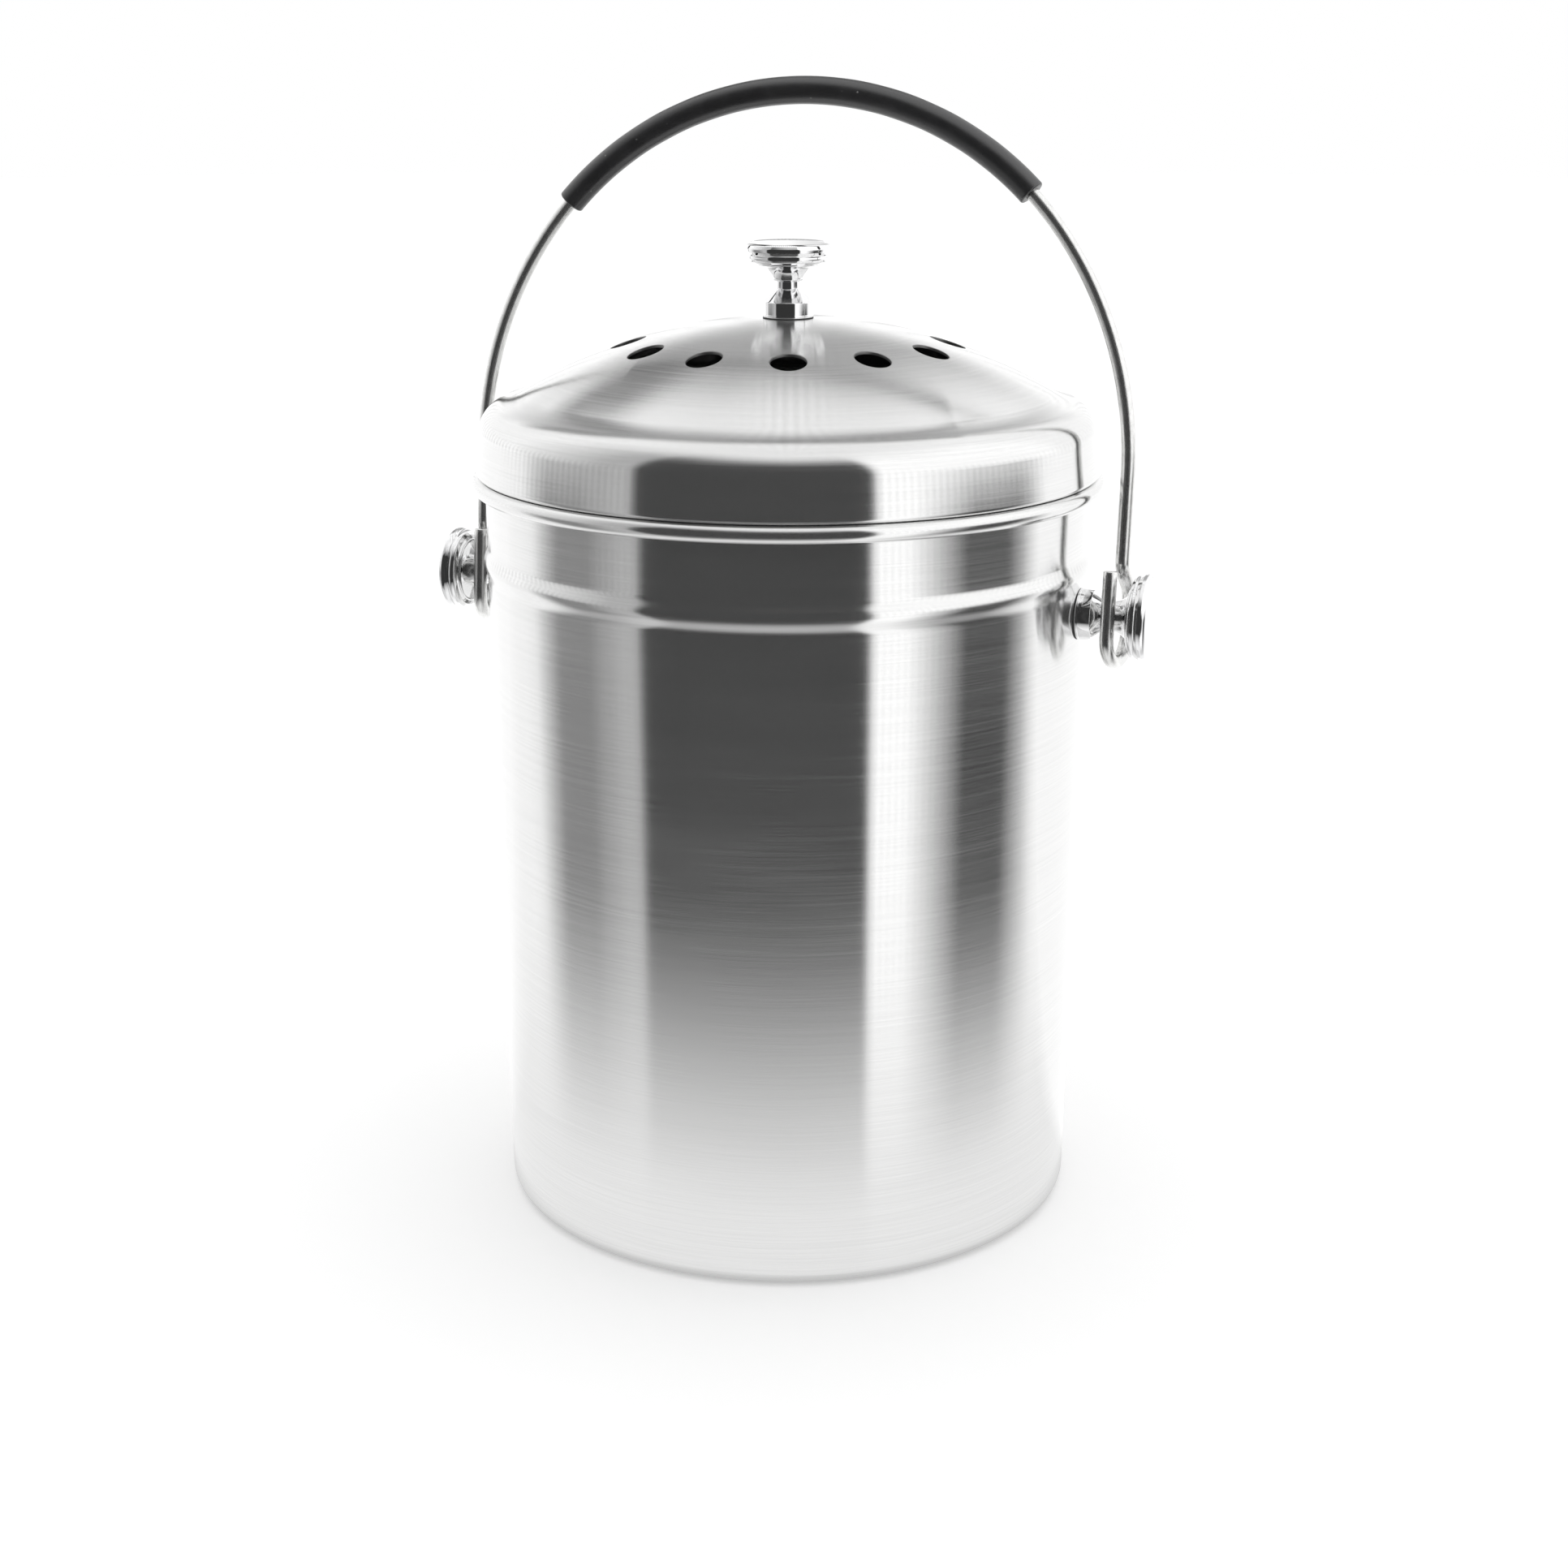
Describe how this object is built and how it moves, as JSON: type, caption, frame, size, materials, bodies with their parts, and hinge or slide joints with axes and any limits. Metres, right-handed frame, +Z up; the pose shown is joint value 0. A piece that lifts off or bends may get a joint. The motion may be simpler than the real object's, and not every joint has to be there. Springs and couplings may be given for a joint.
{
  "type": "compost caddy",
  "caption": "Round steel kitchen compost pail with a lift-off vented dome lid, a charcoal filter in the lid and a swinging wire bail with a rubber grip.",
  "frame": {"origin": "centre of the base on the surface it stands on", "axes": "+Z up; the side knobs and the bail's hinge lie along X; -Y is the side shown, where the bail's hooks end"},
  "size_m": [0.2166, 0.183, 0.3276],
  "materials": {
    "brushed_sheet": "stainless sheet, brushed round the body",
    "bright_knob": "turned and plated to a mirror",
    "bail_steel": "satin drawn wire",
    "screw_steel": "plain stainless fasteners",
    "grip_rubber": "matt black soft sleeve",
    "seal_rubber": "black seals",
    "black_plastic": "moulded, fine grain",
    "charcoal_felt": "felt loaded with charcoal"
  },
  "bodies": {
    "pail": {"pail_body": "brushed_sheet", "left_knob": "bright_knob", "left_knob_seal": "seal_rubber", "left_knob_screw": "screw_steel", "left_knob_washer": "screw_steel", "left_wall_seal": "seal_rubber", "right_knob": "bright_knob", "right_knob_seal": "seal_rubber", "right_knob_screw": "screw_steel", "right_knob_washer": "screw_steel", "right_wall_seal": "seal_rubber"},
    "lid": {"lid_shell": "brushed_sheet", "lid_knob": "bright_knob", "lid_knob_seal": "seal_rubber", "lid_knob_screw": "screw_steel", "lid_knob_washer": "screw_steel"},
    "filter": {"filter_holder": "black_plastic", "filter_pad": "charcoal_felt"},
    "bail": {"bail_wire": "bail_steel", "grip_sleeve": "grip_rubber"}
  },
  "joints": [
    {"name": "bail_swing", "type": "hinge", "parent": "pail", "child": "bail", "pos_m": [0, 0, 0.1815], "axis": [1, 0, 0], "range_deg": [-133.5, 146.5]},
    {"name": "lid_lift", "type": "slide", "parent": "pail", "child": "lid", "axis": [0, 0, 1], "range_m": [0, 0.026]},
    {"name": "filter_drop", "type": "slide", "parent": "lid", "child": "filter", "axis": [0, 0, -1], "range_m": [0, 0.014]}
  ]
}
